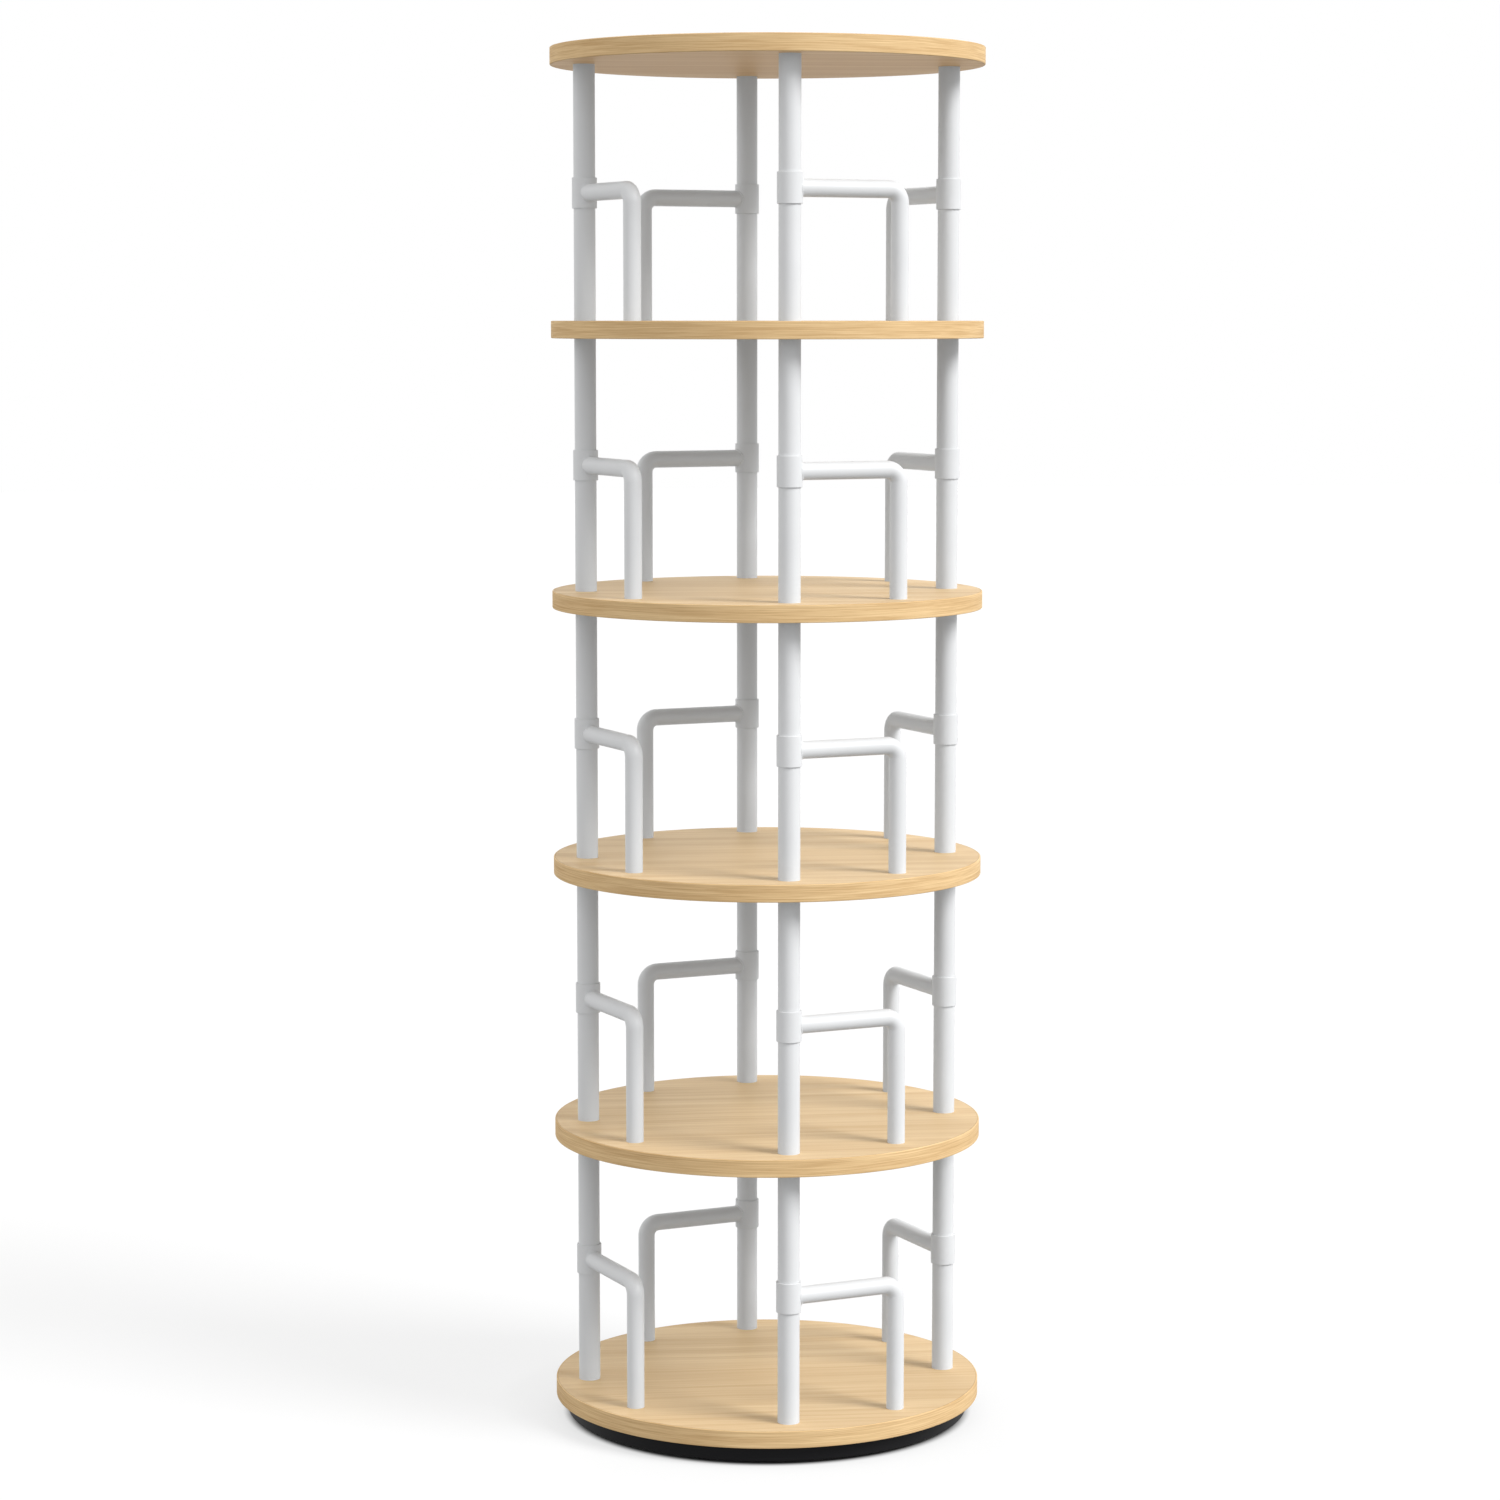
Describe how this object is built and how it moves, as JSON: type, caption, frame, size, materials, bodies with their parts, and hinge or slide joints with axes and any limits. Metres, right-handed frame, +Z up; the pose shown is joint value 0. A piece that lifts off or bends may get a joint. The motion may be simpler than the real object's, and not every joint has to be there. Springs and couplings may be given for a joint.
{
  "type": "revolving bookcase",
  "caption": "Tall revolving bookcase: round wood-look shelves on white tube posts with bent-tube guard rails, turning as one on a ball-bearing turntable in a black base.",
  "frame": {"origin": "on the floor, on the turning axis", "axes": "+Z up along the turning axis, -Y towards the front post, +X towards the right post"},
  "size_m": [0.3999, 0.4, 1.279],
  "materials": {
    "board_wood": "satin light wood-grain face",
    "edge_band_wood": "satin light wood-grain edge band",
    "white_powder_coat": "white satin powder coat on steel tube",
    "black_base": "black painted board",
    "foot_rubber": "black rubber pad",
    "turntable_aluminium": "turned aluminium",
    "cage_plastic": "natural moulded plastic",
    "ball_steel": "polished bearing steel",
    "zinc_steel": "zinc-plated steel"
  },
  "bodies": {
    "base": {"base_plate": "black_base", "feet": "foot_rubber", "turntable_lower_ring": "turntable_aluminium", "turntable_lower_screws": "zinc_steel"},
    "ball_ring": {"turntable_ball_cage": "cage_plastic", "turntable_balls": "ball_steel"},
    "carousel": {"turntable_upper_ring": "turntable_aluminium", "turntable_upper_screws": "zinc_steel", "bottom_shelf": "board_wood", "shelf_2": "board_wood", "shelf_3": "board_wood", "shelf_4": "board_wood", "shelf_5": "board_wood", "top_panel": "board_wood", "edge_bands": "edge_band_wood", "post_1_front": "white_powder_coat", "post_1_right": "white_powder_coat", "post_1_back": "white_powder_coat", "post_1_left": "white_powder_coat", "post_2_front": "white_powder_coat", "post_2_right": "white_powder_coat", "post_2_back": "white_powder_coat", "post_2_left": "white_powder_coat", "post_3_front": "white_powder_coat", "post_3_right": "white_powder_coat", "post_3_back": "white_powder_coat", "post_3_left": "white_powder_coat", "post_4_front": "white_powder_coat", "post_4_right": "white_powder_coat", "post_4_back": "white_powder_coat", "post_4_left": "white_powder_coat", "post_5_front": "white_powder_coat", "post_5_right": "white_powder_coat", "post_5_back": "white_powder_coat", "post_5_left": "white_powder_coat", "guard_rail_1_front": "white_powder_coat", "guard_rail_1_right": "white_powder_coat", "guard_rail_1_back": "white_powder_coat", "guard_rail_1_left": "white_powder_coat", "guard_rail_2_front": "white_powder_coat", "guard_rail_2_right": "white_powder_coat", "guard_rail_2_back": "white_powder_coat", "guard_rail_2_left": "white_powder_coat", "guard_rail_3_front": "white_powder_coat", "guard_rail_3_right": "white_powder_coat", "guard_rail_3_back": "white_powder_coat", "guard_rail_3_left": "white_powder_coat", "guard_rail_4_front": "white_powder_coat", "guard_rail_4_right": "white_powder_coat", "guard_rail_4_back": "white_powder_coat", "guard_rail_4_left": "white_powder_coat", "guard_rail_5_front": "white_powder_coat", "guard_rail_5_right": "white_powder_coat", "guard_rail_5_back": "white_powder_coat", "guard_rail_5_left": "white_powder_coat", "post_bolts": "zinc_steel", "post_studs": "zinc_steel", "top_inserts": "zinc_steel", "rail_screws": "zinc_steel"}
  },
  "joints": [
    {"name": "carousel_spin", "type": "hinge", "parent": "base", "child": "carousel", "pos_m": [0, 0, 0.0135], "axis": [0, 0, 1], "continuous": true},
    {"name": "ball_ring_spin", "type": "hinge", "parent": "base", "child": "ball_ring", "pos_m": [0, 0, 0.0135], "axis": [0, 0, 1], "continuous": true}
  ],
  "couplings": [
    {"joint": "ball_ring_spin", "follows": "carousel_spin", "ratio": 0.48886}
  ]
}
